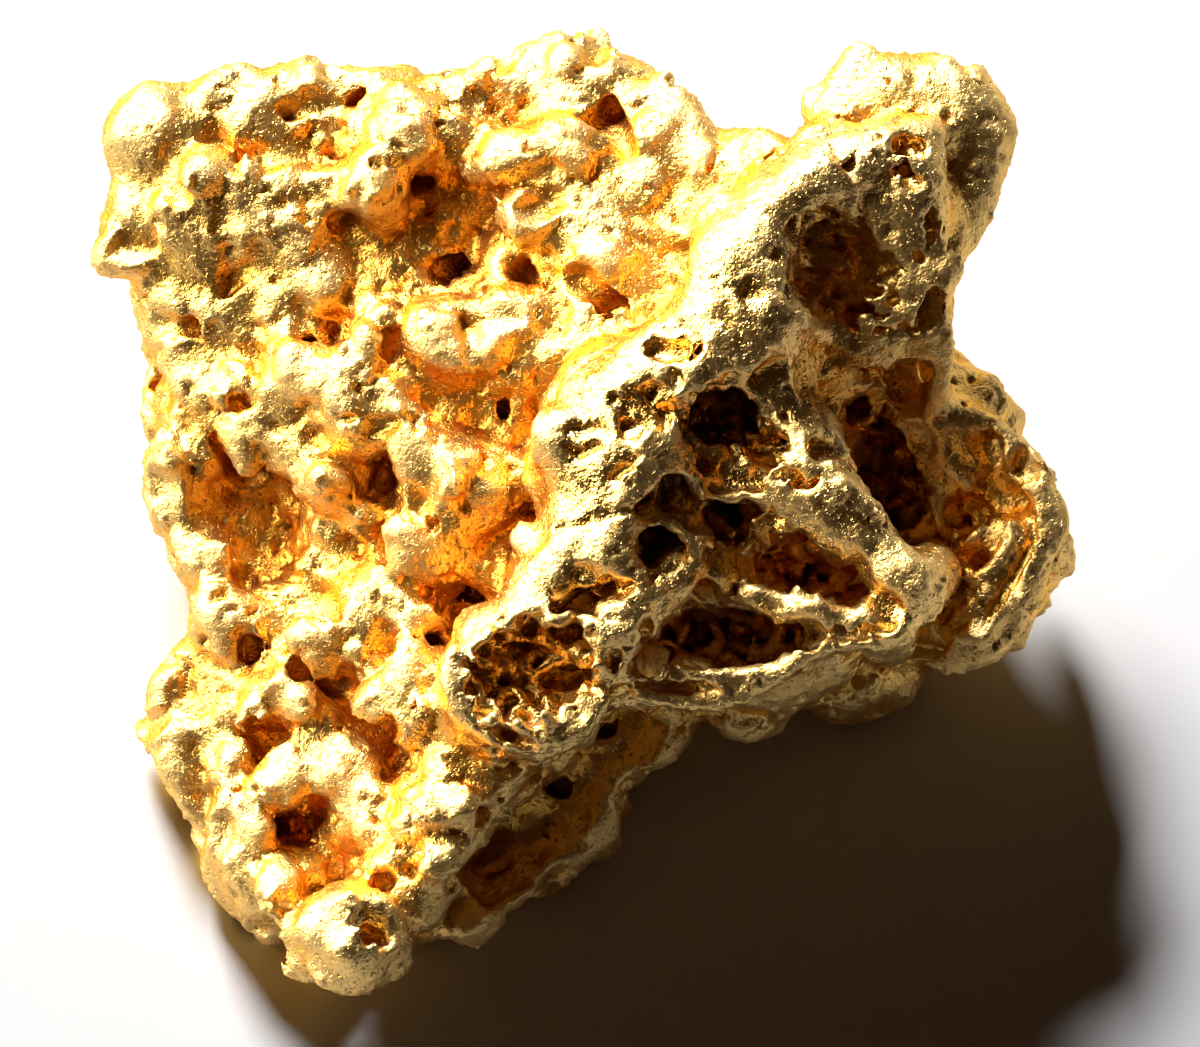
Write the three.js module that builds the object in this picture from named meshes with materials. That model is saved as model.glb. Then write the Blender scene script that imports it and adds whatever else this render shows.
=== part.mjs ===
// A natural gold nugget: one water-worn lump of native gold, about 16 mm across.
// A tall crest runs over it, with a pitted face on one side and a broad knobbly slope on the other.
// Units are millimetres. The finished part stands on z = 0 with its middle over the origin.
import * as THREE from "three";
import { MarchingCubes } from "three/addons/objects/MarchingCubes.js";
import { mergeVertices } from "three/addons/utils/BufferGeometryUtils.js";

// Driving dimensions.
// The forms below are laid out as seen by a viewer who looks down at VIEW_ELEVATION:
// across to the right, up the view, and near towards the viewer, whose zero is the top of the crest.
const VIEW_ELEVATION = THREE.MathUtils.degToRad(70);
const CREST_RISE = 6.8; // height over the ground of the layout's zero point
const MERGE = 0.4; // how far the big forms flow into each other
const KNOB_MERGE = 0.2; // the same for the small knobs and thin rims
const PIT_EDGE = 0.18; // how much a pit's rim is rounded over
const LUMP_PITCH = 1.4; // usual distance between the small lumps all over the surface
const LUMP_HEIGHT = 0.75; // from a lump's top down to a crease one pitch away
const LUMP_LEVEL = 0.32; // share of that height that stands proud of the big forms
const WORN_SHARE = 0.35; // how much of that height is left on the worn crest
const WORN_DEPTH = [1.2, 3.0]; // depths below the crest between which the wear fades out
const GRID_HALF_SPAN = 9.2; // half the side of the cube that is sampled
const GRID_CELLS = 40; // samples along each side of that cube
const GRID_CENTRE = new THREE.Vector3(0, 1.2, 5.2);
const LEAST_FIELD = 0.05; // keeps the surface off the samples, so that no face is a sliver
const ROOM_FOR_FACES = 30000; // the most faces that the drawing has room for
const WELD_REACH = 1e-4; // corners closer than this, as a share of GRID_HALF_SPAN, are one corner
const SCATTER_STEP = { i: 127.1, j: 311.7, k: 74.7, axis: 53.3 }; // uneven steps that mix a cell's number
const SCATTER_GAIN = 43758.5453; // large enough that neighbouring cells come out unrelated
const GOLD = { color: 0xe0ab45, metalness: 1.0, roughness: 0.32 };

// A point of the layout that lies a given height over the ground.
function atHeight(across, up, height) {
  const near = (height - CREST_RISE - up * Math.cos(VIEW_ELEVATION)) / Math.sin(VIEW_ELEVATION);
  return [across, up, near];
}

// Big swells that carry everything else: middle point and half sizes.
const BODIES = [
  { name: "west body", at: [-3.5, 3.2, -5.9], half: [4.0, 4.0, 2.1] },
  { name: "crest root", at: [1.2, 2.7, -4.7], half: [3.0, 3.6, 2.4] },
  { name: "south-west body", at: [-4.2, -2.9, -5.0], half: [2.5, 3.5, 1.3] },
  { name: "east body", at: [3.8, 1.5, -4.8], half: [2.4, 4.2, 2.2] },
  { name: "snout root", at: [-0.3, -2.2, -4.2], half: [2.2, 2.6, 2.0] },
  { name: "front flange", at: [3.1, -2.0, -4.3], half: [1.9, 1.45, 2.2] },
  { name: "east shell", at: [6.3, -0.15, -4.4], half: [1.75, 2.3, 1.6] },
  { name: "upper face", at: [4.8, 4.3, -2.5], half: [1.6, 2.2, 1.5] },
  { name: "middle face", at: [3.0, 1.0, -1.7], half: [1.5, 1.6, 1.2] },
  { name: "ledge wall", at: [-0.9, -4.6, -4.6], half: [1.5, 1.8, 1.3] },
  { name: "west hole floor", at: [-5.0, -0.2, -6.2], half: [1.9, 2.0, 1.0] },
  { name: "saddle fill", at: [3.2, 5.3, -3.6], half: [1.5, 1.1, 1.2] },
  { name: "belly", at: [1.2, 3.2, -6.7], half: [4.6, 3.6, 1.5] },
  { name: "east bridge", at: [5.7, 1.9, -4.1], half: [1.3, 0.9, 1.0] },
  { name: "north gap", at: [-1.5, 6.6, -5.1], half: [0.8, 0.8, 0.8] },
  { name: "toe root", at: [-3.0, -5.9, -3.9], half: [1.1, 1.4, 1.2] },
];

// Rounded ridges: each is a run of points with a radius at each point, [across, up, near, radius].
const RIDGES = {
  crest: [
    [-1.0, -2.75, -1.25, 1.25],
    [0.17, -1.42, -1.4, 1.4],
    [1.08, 0.25, -1.6, 1.6],
    [0.75, 1.33, -1.55, 1.58],
    [2.4, 2.6, -1.25, 1.2],
    [3.1, 4.2, -1.5, 1.35],
    [4.1, 5.3, -1.6, 1.2],
    [5.2, 5.8, -1.7, 0.95],
  ],
  arm: [
    [3.7, 0.85, -1.0, 0.75],
    [4.7, -0.35, -0.95, 0.62],
    [5.75, -1.15, -0.95, 0.55],
  ],
  northEastLobe: [
    [4.6, 6.65, -3.2, 0.75],
    [5.2, 7.05, -3.1, 0.8],
    [6.2, 6.95, -3.0, 0.75],
    [7.1, 6.7, -3.1, 0.5],
  ],
  northEastHook: [
    [6.9, 6.4, -3.0, 0.5],
    [6.75, 5.9, -3.0, 0.5],
    [6.4, 4.9, -2.9, 0.5],
  ],
  northLobe: [
    [-1.15, 7.45, -4.6, 0.8],
    [-0.17, 7.2, -4.6, 0.85],
    [0.9, 6.65, -4.3, 0.75],
    [2.0, 6.0, -3.7, 0.65],
  ],
  northWestEdge: [
    [-2.2, 6.6, -4.8, 0.7],
    [-3.25, 6.65, -4.9, 0.75],
    [-4.4, 7.0, -4.9, 0.8],
    [-5.85, 6.6, -5.0, 0.85],
    [-7.1, 6.2, -5.0, 1.1],
    [-7.25, 5.1, -5.0, 0.9],
    [-6.4, 4.4, -4.9, 0.8],
    [-6.7, 3.2, -5.1, 0.8],
    [-6.45, 2.0, -5.0, 0.7],
  ],
  westHoleRim: [
    [-6.8, 0.85, -4.9, 0.5],
    [-6.8, -0.35, -4.9, 0.5],
    [-6.2, -1.2, -4.8, 0.5],
    [-5.0, -1.5, -4.5, 0.5],
    [-4.2, -0.7, -4.0, 0.55],
    [-4.2, 0.7, -3.8, 0.6],
    [-5.2, 1.5, -4.2, 0.6],
    [-6.3, 1.6, -4.8, 0.5],
  ],
  southWestEdge: [
    [-6.25, -2.3, -4.9, 0.65],
    [-6.45, -3.4, -5.0, 0.8],
    [-5.95, -4.3, -4.9, 0.75],
    [-5.7, -5.5, -4.9, 0.6],
    [-5.3, -6.35, -4.8, 0.5],
    [-4.5, -6.0, -4.3, 0.5],
  ],
  slopeRidge: [
    [-4.95, 2.75, -3.9, 0.55],
    [-3.95, 2.3, -3.4, 0.6],
    [-3.3, 1.95, -3.2, 0.65],
    [-2.15, 1.0, -2.7, 0.6],
    [-1.4, 0.65, -2.6, 0.55],
  ],
  southLedge: [
    [-6.4, -2.85, -4.4, 0.5],
    [-4.8, -2.85, -3.8, 0.55],
  ],
  southBand: [
    [-4.7, -3.4, -3.8, 0.5],
    [-4.0, -4.1, -3.4, 0.5],
    [-3.4, -4.75, -3.1, 0.5],
  ],
  lowerCrest: [
    [-3.0, -2.3, -3.2, 0.8],
    [-2.1, -3.3, -2.6, 0.8],
    [-1.25, -4.1, -2.4, 0.65],
    [-1.9, -4.8, -2.6, 0.65],
    [-2.5, -5.7, -2.6, 0.65],
    [-3.1, -6.5, -2.6, 0.75],
    [-3.8, -6.95, -2.5, 1.0],
  ],
  ledge: [
    [0.65, -4.0, -3.8, 0.42],
    [-0.15, -5.05, -3.7, 0.38],
    [-1.15, -6.0, -3.6, 0.38],
    [-2.2, -6.95, -3.3, 0.38],
  ],
};

// Thin rims that stand around and across the hollows, given in the same way as the ridges.
const RIMS = {
  armBar: [
    [5.7, -1.4, -0.95, 0.45],
    [4.9, -1.85, -0.95, 0.38],
    [3.8, -1.6, -1.05, 0.34],
    [2.5, -1.1, -1.2, 0.36],
  ],
  lip: [
    [0.5, -2.8, -1.7, 0.45],
    [1.6, -2.85, -1.4, 0.36],
    [2.4, -2.95, -1.3, 0.36],
    [3.1, -2.65, -1.2, 0.34],
    [3.7, -2.15, -1.1, 0.34],
    [4.6, -1.9, -1.0, 0.34],
  ],
  eastRim: [
    [5.4, 1.9, -2.9, 0.4],
    [6.75, 1.53, -2.9, 0.45],
    [7.6, 0.75, -2.8, 0.5],
    [7.7, -0.4, -2.7, 0.45],
    [7.25, -1.5, -2.6, 0.5],
    [6.6, -2.15, -2.7, 0.55],
    [5.75, -2.35, -3.0, 0.4],
  ],
  eastCurl: [
    [6.25, 0.1, -2.9, 0.32],
    [7.0, -0.4, -2.7, 0.32],
    [7.0, -1.15, -2.6, 0.32],
    [6.5, -1.3, -2.6, 0.32],
  ],
  eastSeptum: [
    [5.6, 1.3, -3.1, 0.32],
    [5.85, 0.65, -3.1, 0.32],
    [6.6, 0.35, -2.9, 0.32],
  ],
  faceRim: [
    [5.8, 6.5, -1.7, 0.45],
    [5.75, 5.2, -1.5, 0.42],
    [5.75, 3.9, -1.6, 0.4],
    [5.95, 2.9, -2.0, 0.4],
    [5.85, 2.1, -2.5, 0.4],
  ],
};

// Round knobs, mostly on the broad slope west of the crest: middle point and radius.
const KNOBS = [
  { name: "slope shoulder", at: [-1.9, 0.7, -3.8], radius: 1.2 },
  { name: "slope foot", at: [-2.5, -0.7, -3.7], radius: 1.2 },
  { name: "slope middle", at: [-2.7, 2.0, -4.2], radius: 1.3 },
  { name: "slope top", at: [-1.1, 3.2, -3.9], radius: 1.3 },
  { name: "saddle", at: [0.3, 4.7, -4.0], radius: 1.3 },
  { name: "corner knob", at: [-6.5, 5.8, -4.2], radius: 0.55 },
  { name: "corner side knob", at: [-7.0, 5.2, -4.3], radius: 0.45 },
  { name: "corner inner knob", at: [-5.5, 4.8, -4.2], radius: 0.65 },
  { name: "north-west knob", at: [-4.6, 4.3, -4.0], radius: 0.6 },
  { name: "north-west high knob", at: [-4.9, 5.6, -4.3], radius: 0.5 },
  { name: "north-west big knob", at: [-3.8, 5.6, -4.0], radius: 0.8 },
  { name: "north edge knob", at: [-2.9, 6.5, -4.2], radius: 0.65 },
  { name: "north lobe foot", at: [-1.3, 6.1, -3.9], radius: 0.6 },
  { name: "north lobe shoulder", at: [-0.1, 6.3, -3.8], radius: 0.65 },
  { name: "north slope knob", at: [-0.8, 5.0, -3.1], radius: 0.55 },
  { name: "middle slope knob", at: [-3.4, 3.2, -3.5], radius: 0.65 },
  { name: "inner slope knob", at: [-2.2, 2.9, -3.1], radius: 0.65 },
  { name: "west knob", at: [-5.6, 2.1, -4.2], radius: 0.5 },
  { name: "south rim knob", at: [-5.9, -1.9, -4.2], radius: 0.65 },
  { name: "pocket west rim", at: [-3.95, -1.75, -3.2], radius: 0.45 },
  { name: "pocket east rim", at: [-2.65, -1.7, -2.8], radius: 0.45 },
  { name: "south-west knob", at: [-5.7, -5.5, -4.2], radius: 0.5 },
  { name: "south-west lump", at: [-4.65, -5.8, -3.9], radius: 0.8 },
  { name: "south-west foot knob", at: [-5.6, -6.1, -4.4], radius: 0.5 },
  { name: "lower crest knob", at: [-2.3, -4.8, -2.2], radius: 0.6 },
  { name: "toe neck", at: [-2.35, -5.65, -2.3], radius: 0.55 },
  { name: "toe shoulder", at: [-3.2, -5.5, -2.5], radius: 0.5 },
];

// Feet that it stands on: a middle point close to the ground, and a radius.
const FOOT_HEIGHT = 0.9;
const FOOT_RADIUS = 1.2;
const FEET = [
  [-5.2, -5.2],
  [4.6, -2.2],
  [-4.8, 3.4],
  [4.2, 3.2],
];

// Hollows cut into the lumps: middle point and half sizes.
const PITS = [
  { name: "face pit", at: [2.35, 1.7, -0.3], half: [0.7, 0.55, 0.9] },
  { name: "upper crest pit", at: [1.67, 0.38, -0.1], half: [0.42, 0.52, 0.6] },
  { name: "middle crest pit", at: [1.37, -0.45, -0.15], half: [0.52, 0.45, 0.75] },
  { name: "lower crest pit", at: [0.13, -1.28, -0.05], half: [0.7, 0.35, 0.65] },
  { name: "arm pit", at: [2.6, -0.03, -0.5], half: [0.42, 0.4, 0.9] },
  { name: "granular hollow", at: [0.85, 2.0, 0.25], half: [0.55, 0.5, 0.5] },
  { name: "snout pit", at: [-0.33, -2.83, -0.15], half: [0.5, 0.35, 0.5] },
  { name: "snout face", at: [-0.9, -2.5, 0.4], half: [0.9, 0.65, 0.75] },
  { name: "arm window", at: [3.5, -1.0, -1.4], half: [0.9, 0.45, 1.5] },
  { name: "lip cavity", at: [2.4, -2.1, -2.0], half: [1.3, 0.55, 1.4] },
  { name: "upper face hollow", at: [4.4, 4.25, -0.5], half: [0.95, 1.2, 1.1] },
  { name: "upper face dish", at: [5.0, 5.6, -0.4], half: [0.6, 0.75, 0.7] },
  { name: "east cavity", at: [5.4, 1.1, -2.6], half: [0.75, 1.4, 1.8] },
  { name: "east rim pit", at: [7.0, 0.85, -2.5], half: [0.42, 0.5, 0.6] },
  { name: "east curl pit", at: [6.1, -0.6, -2.5], half: [0.5, 0.6, 0.8] },
  { name: "west hole", at: [-5.4, 0.0, -4.0], half: [0.9, 1.25, 1.1] },
  { name: "slope hole", at: [-2.67, 1.68, -2.5], half: [0.38, 0.28, 0.9] },
  { name: "north slope hole", at: [-0.6, 4.2, -2.4], half: [0.38, 0.32, 0.9] },
  { name: "slope dish", at: [-1.9, 4.45, -2.9], half: [0.65, 0.85, 0.8] },
  { name: "north pocket", at: [-0.5, 7.2, -3.4], half: [0.55, 0.42, 0.55] },
  { name: "north-west pocket", at: [-4.2, 7.1, -3.9], half: [0.55, 0.4, 0.6] },
  { name: "west corner pocket", at: [-5.6, 6.1, -3.9], half: [0.5, 0.4, 0.6] },
  { name: "west corner crease", at: [-4.3, 3.6, -3.4], half: [0.55, 0.3, 0.6] },
  { name: "west crease", at: [-5.6, 2.6, -3.9], half: [0.6, 0.28, 0.6] },
  { name: "south slope pocket", at: [-3.25, -2.15, -2.6], half: [0.55, 0.35, 0.7] },
  { name: "south crease", at: [-5.6, -2.4, -3.9], half: [0.75, 0.28, 0.6] },
  { name: "south-west pocket", at: [-5.15, -3.75, -3.8], half: [0.75, 0.5, 0.8] },
  { name: "south-west notch", at: [-6.3, -4.6, -4.4], half: [0.4, 0.28, 0.5] },
  { name: "south-west crease", at: [-4.9, -5.15, -3.8], half: [0.85, 0.32, 0.7] },
  { name: "lower crest notch", at: [-3.15, -4.1, -2.8], half: [0.38, 0.42, 0.7] },
  { name: "toe hole", at: [-3.4, -7.0, -1.6], half: [0.4, 0.35, 0.5] },
  { name: "toe top hole", at: [-3.3, -6.1, -1.85], half: [0.3, 0.26, 0.5] },
];

// Distances are negative inside the gold.
function toBall(p, at, radius) {
  return Math.hypot(p.x - at[0], p.y - at[1], p.z - at[2]) - radius;
}

function toEllipsoid(p, at, half) {
  const x = (p.x - at[0]) / half[0];
  const y = (p.y - at[1]) / half[1];
  const z = (p.z - at[2]) / half[2];
  const ratio = Math.hypot(x, y, z);
  const slope = Math.hypot(x / half[0], y / half[1], z / half[2]);
  return slope === 0 ? -Math.min(...half) : (ratio * (ratio - 1)) / slope;
}

const start = new THREE.Vector3();
const span = new THREE.Vector3();
const offset = new THREE.Vector3();

function toRidgeStretch(p, a, b) {
  start.fromArray(a);
  span.fromArray(b).sub(start);
  offset.copy(p).sub(start);
  const share = THREE.MathUtils.clamp(offset.dot(span) / span.lengthSq(), 0, 1);
  const radius = THREE.MathUtils.lerp(a[3], b[3], share);
  return offset.addScaledVector(span, -share).length() - radius;
}

function toRidge(p, points) {
  let nearest = Infinity;
  for (let i = 0; i + 1 < points.length; i++) {
    nearest = Math.min(nearest, toRidgeStretch(p, points[i], points[i + 1]));
  }
  return nearest;
}

function smoothMin(a, b, width) {
  const overlap = Math.max(width - Math.abs(a - b), 0) / width;
  return Math.min(a, b) - (overlap * overlap * width) / 4;
}

// A repeatable scattered number from 0 to 1 for one axis of a lattice cell.
function scatter(i, j, k, axis) {
  const { i: stepI, j: stepJ, k: stepK, axis: stepAxis } = SCATTER_STEP;
  const mixed = Math.sin(i * stepI + j * stepJ + k * stepK + axis * stepAxis) * SCATTER_GAIN;
  return mixed - Math.floor(mixed);
}

// Height of the small round lumps: one lump stands around each point of a scattered lattice.
function lumpHeight(p) {
  const cell = p.clone().divideScalar(LUMP_PITCH);
  const first = cell.clone().floor();
  let nearest = Infinity;
  for (const di of [-1, 0, 1]) {
    for (const dj of [-1, 0, 1]) {
      for (const dk of [-1, 0, 1]) {
        const [i, j, k] = [first.x + di, first.y + dj, first.z + dk];
        const dx = i + scatter(i, j, k, 1) - cell.x;
        const dy = j + scatter(i, j, k, 2) - cell.y;
        const dz = k + scatter(i, j, k, 3) - cell.z;
        nearest = Math.min(nearest, dx * dx + dy * dy + dz * dz);
      }
    }
  }
  const wear = THREE.MathUtils.smoothstep(-p.z, ...WORN_DEPTH);
  return LUMP_HEIGHT * THREE.MathUtils.lerp(WORN_SHARE, 1, wear) * (LUMP_LEVEL - nearest);
}

// Distance from a point of the layout to the nugget's surface, before it is stood on the ground.
function toGold(p) {
  let distance = Infinity;
  for (const body of BODIES) {
    distance = smoothMin(distance, toEllipsoid(p, body.at, body.half), MERGE);
  }
  for (const points of Object.values(RIDGES)) {
    distance = smoothMin(distance, toRidge(p, points), MERGE);
  }
  for (const knob of KNOBS) {
    distance = smoothMin(distance, toBall(p, knob.at, knob.radius), KNOB_MERGE);
  }
  for (const [across, up] of FEET) {
    const foot = toBall(p, atHeight(across, up, FOOT_HEIGHT), FOOT_RADIUS);
    distance = smoothMin(distance, foot, MERGE);
  }
  distance -= lumpHeight(p);
  for (const pit of PITS) {
    distance = -smoothMin(-distance, toEllipsoid(p, pit.at, pit.half), PIT_EDGE);
  }
  for (const points of Object.values(RIMS)) {
    distance = smoothMin(distance, toRidge(p, points), KNOB_MERGE);
  }
  return distance;
}

// The layout turned so that the ground is level: up the view becomes back and up, near becomes front and up.
const layoutFromGround = new THREE.Matrix4()
  .makeRotationX(VIEW_ELEVATION - Math.PI / 2)
  .multiply(new THREE.Matrix4().makeTranslation(0, 0, -CREST_RISE));

// Samples the distance over a cube, and draws the surface where it is zero. The ground cuts the feet flat.
function nuggetGeometry() {
  const cubes = new MarchingCubes(GRID_CELLS, undefined, false, false, ROOM_FOR_FACES);
  const half = GRID_CELLS / 2;
  const ground = new THREE.Vector3();
  const layout = new THREE.Vector3();
  let index = 0;
  for (let k = 0; k < GRID_CELLS; k++) {
    for (let j = 0; j < GRID_CELLS; j++) {
      for (let i = 0; i < GRID_CELLS; i++) {
        ground.set(i - half, j - half, k - half).multiplyScalar(GRID_HALF_SPAN / half).add(GRID_CENTRE);
        layout.copy(ground).applyMatrix4(layoutFromGround);
        const distance = Math.max(toGold(layout), -ground.z);
        const field = Math.max(Math.abs(distance), LEAST_FIELD) * Math.sign(-distance || -1);
        cubes.field[index] = field;
        index += 1;
      }
    }
  }
  cubes.isolation = 0;
  cubes.update();
  const drawn = cubes.geometry.getAttribute("position").array.slice(0, cubes.count * 3);
  const soup = new THREE.BufferGeometry().setAttribute("position", new THREE.BufferAttribute(drawn, 3));
  const geometry = mergeVertices(soup, WELD_REACH);
  geometry.scale(GRID_HALF_SPAN, GRID_HALF_SPAN, GRID_HALF_SPAN);
  geometry.translate(GRID_CENTRE.x, GRID_CENTRE.y, GRID_CENTRE.z);
  geometry.computeVertexNormals();
  return geometry;
}

// The outer skin alone: bubbles closed up inside the gold are left out.
function outerSkin(geometry) {
  const index = geometry.index.array;
  const leader = Array.from({ length: geometry.attributes.position.count }, (_, vertex) => vertex);
  const find = (vertex) => {
    while (leader[vertex] !== vertex) {
      leader[vertex] = leader[leader[vertex]];
      vertex = leader[vertex];
    }
    return vertex;
  };
  for (let corner = 0; corner < index.length; corner += 3) {
    leader[find(index[corner + 1])] = find(index[corner]);
    leader[find(index[corner + 2])] = find(index[corner]);
  }
  const shells = new Map();
  for (let corner = 0; corner < index.length; corner += 3) {
    const shell = find(index[corner]);
    shells.set(shell, [...(shells.get(shell) ?? []), index[corner], index[corner + 1], index[corner + 2]]);
  }
  const largest = [...shells.values()].reduce((a, b) => (a.length > b.length ? a : b));
  return geometry.setIndex(largest);
}

// Stands the lump on z = 0 with the middle of its outline over the origin.
function centred(geometry) {
  geometry.computeBoundingBox();
  const middle = geometry.boundingBox.getCenter(new THREE.Vector3());
  return geometry.translate(-middle.x, -middle.y, -geometry.boundingBox.min.z);
}

const nugget = new THREE.Mesh(centred(outerSkin(nuggetGeometry())), new THREE.MeshStandardMaterial(GOLD));
nugget.name = "nugget";

const part = new THREE.Group();
part.add(nugget);
export default part;
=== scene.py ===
import math

import bpy
import numpy as np
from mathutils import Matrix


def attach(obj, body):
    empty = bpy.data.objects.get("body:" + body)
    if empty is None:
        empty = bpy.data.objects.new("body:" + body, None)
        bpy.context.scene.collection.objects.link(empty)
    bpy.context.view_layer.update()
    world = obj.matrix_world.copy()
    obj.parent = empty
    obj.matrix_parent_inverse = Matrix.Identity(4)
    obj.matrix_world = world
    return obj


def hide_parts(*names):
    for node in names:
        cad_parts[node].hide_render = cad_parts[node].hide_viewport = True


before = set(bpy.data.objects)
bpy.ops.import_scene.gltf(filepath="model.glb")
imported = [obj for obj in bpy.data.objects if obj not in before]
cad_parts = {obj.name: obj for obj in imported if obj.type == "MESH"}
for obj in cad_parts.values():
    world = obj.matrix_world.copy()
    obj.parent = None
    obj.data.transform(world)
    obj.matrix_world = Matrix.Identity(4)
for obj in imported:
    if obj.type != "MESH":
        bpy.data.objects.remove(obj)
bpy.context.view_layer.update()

import openvdb
from mathutils import Vector

# A gold nugget on a pale floor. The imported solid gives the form. It is turned into a field of distances,
# rounded, given its pits, rims, lumps and folds, and drawn again as one fine mesh.
# Lengths are in millimetres until the mesh is made, and metres from there on.
MM = 0.001

# The photograph's view. Places on the nugget are given as they are seen in it: across to the right,
# up the picture and near towards the viewer, from the top of the crest.
IMAGE_SIZE = (1200, 1047)
PIXELS_PER_MM = 60.0
CREST_PIXEL = (580.0, 520.0)
CREST_TOP = np.array([0.075, -1.283, 6.8])  # the same point in the part's own frame
ELEVATION = math.radians(70.0)
CAMERA_DISTANCE = 300.0
CLIP_START = 0.01  # in metres
SENSOR_WIDTH = 36.0
ACROSS = np.array([1.0, 0.0, 0.0])
UP = np.array([0.0, math.sin(ELEVATION), math.cos(ELEVATION)])
NEAR = np.array([0.0, -math.cos(ELEVATION), math.sin(ELEVATION)])

# Light. Each lamp has the way towards it, its width in metres, its power in watts and its colour.
LAMP_DISTANCE = 0.5  # in metres
LAMPS = {
    "key": {"away": (-0.48, 1.5, 0.92), "size": 0.14, "power": 7.0, "colour": (1.0, 0.98, 0.95)},
    "fill": {"away": (-1.3, 0.7, 0.5), "size": 0.6, "power": 11.5, "colour": (1.0, 0.92, 0.74)},
}
SURROUND = {"colour": (1.0, 0.52, 0.28, 1.0), "strength": 0.02}
FLOOR = {"half_side": 1.5, "colour": (0.68, 0.69, 0.72, 1.0), "roughness": 0.8}  # half_side in metres

# The field of distances.
VOXEL = 0.05
FIELD_SIZE = np.array([18.0, 18.0, 9.6])  # a little more than the nugget, and a whole number of voxels
FIELD_LOW = np.array([-9.0, -9.0, -0.7])
BAND = 0.9  # distances are kept up to this far from the surface
ROUNDING = (0.15, 0.22)  # how far facets and lumps are rounded over, on the crest and far below it
ROUNDED_DEPTH = (1.0, 3.0)  # between these depths below the crest the one gives way to the other
MOST_TRIANGLES = 190000
SLOPE_STEP = 1.5  # the slope of the field is taken over so many voxels to each side
SEARCH = (0.8, -7.0)  # the surface is looked for from so near to so far, against the crest's top
TINY = 1e-9  # keeps a number that is divided by above 0
LAST_CELL = 1.001  # keeps a place that is looked up just inside the last cell of the grid
FINEST_WAVES = 2.0  # noise holds waves of up to so many times its own pitch

# Chance. Every kind of random detail has a seed of its own, counted on from this one.
SEED = 7
NOISE_SPREAD = 0.3  # how far the swells of a noise differ in spacing, as a share of it

# Natural detail. Lumps are scattered over the surface and stand out by a share of the radius. They are
# drawn out along the surface by different amounts. The crest and the arm are worn, so few are left there.
LUMPS = {
    "seed": 1, "count": 1800, "radius": (0.16, 0.5), "share": (0.1, 0.4),
    "stretch": (1.0, 2.2), "edge": 0.12,
}
LUMPS_LEFT_ON_CREST = 0.03
WORN_DEPTH = (1.6, 3.6)  # how far below its top the crest is worn, left of the shoulder line and right of it
# Pits are where smooth noise of one spacing is high. They begin at the first of two values and are full
# at the second.
PITS = {
    "pockets": {"seed": 20, "spacing": 1.3, "high": (0.8, 2.4), "depth": 0.45},
    "pits": {"seed": 21, "spacing": 0.45, "high": (0.8, 2.4), "depth": 0.09},
}
PITS_LEFT_ON_DOME = 0.2
FOLDS = {"seed": 3, "spacing": 0.36, "height": 0.018, "middle": 0.8}  # middle of the noise without its sign
GRAIN = {"seed": 4, "spacing": 0.16, "height": 0.010}
WOBBLE = {"seed": 5, "spacing": 0.9, "share": 0.045}  # how uneven lumps and bars are
RAGGED = {"seed": 6, "spacing": 0.4, "share": 0.11}  # how uneven the outline of a hollow is
RAGGED_REACH = 1.3  # an uneven hollow stays within so many times its size
SHAPE_MARGIN = 0.3  # a lump, knob or bar is worked out so far beyond its own surface
# How sheltered the surface is, which sets its colour, with painted shade in hollows and a painted reflection
# on edges.
SHELTER_REACH = 0.35  # a place is sheltered by what stands so far around it
VALLEY_REACH = 1.0  # and by the sides of a valley so far away, by a smaller share
VALLEY_SHARE = 0.22
SHADED_WALL_WAY = np.array([0.5, -0.85, -0.1])  # low walls that face this way get painted shade, like hollows
SHADED_WALL_TURN = (0.3, 0.7)  # how much they face that way where the painted shade begins and where it is full
WALL_SHADE = 0.22  # full painted shade on a wall counts as so much shelter
FROSTED_DEPTH = (0.8, 2.2)  # below the crest the gold turns from worn to frosted between these depths

# The crest's left shoulder is rounded off beside this line of pixels.
SHOULDER_LINE = (
    (880, 130), (800, 205), (735, 300), (668, 385), (628, 460), (606, 525), (556, 580), (508, 640),
    (492, 690),
)
SHOULDER_TOP = -0.12  # how near the line is, in millimetres
SHOULDER_REACH = 80.0  # in pixels, from the line to the crest's left edge
SHOULDER_DROP = 0.85  # at that reach, in millimetres
SHOULDER_MOST = 1.5  # where the drop would be more than this, nothing is taken away

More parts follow.
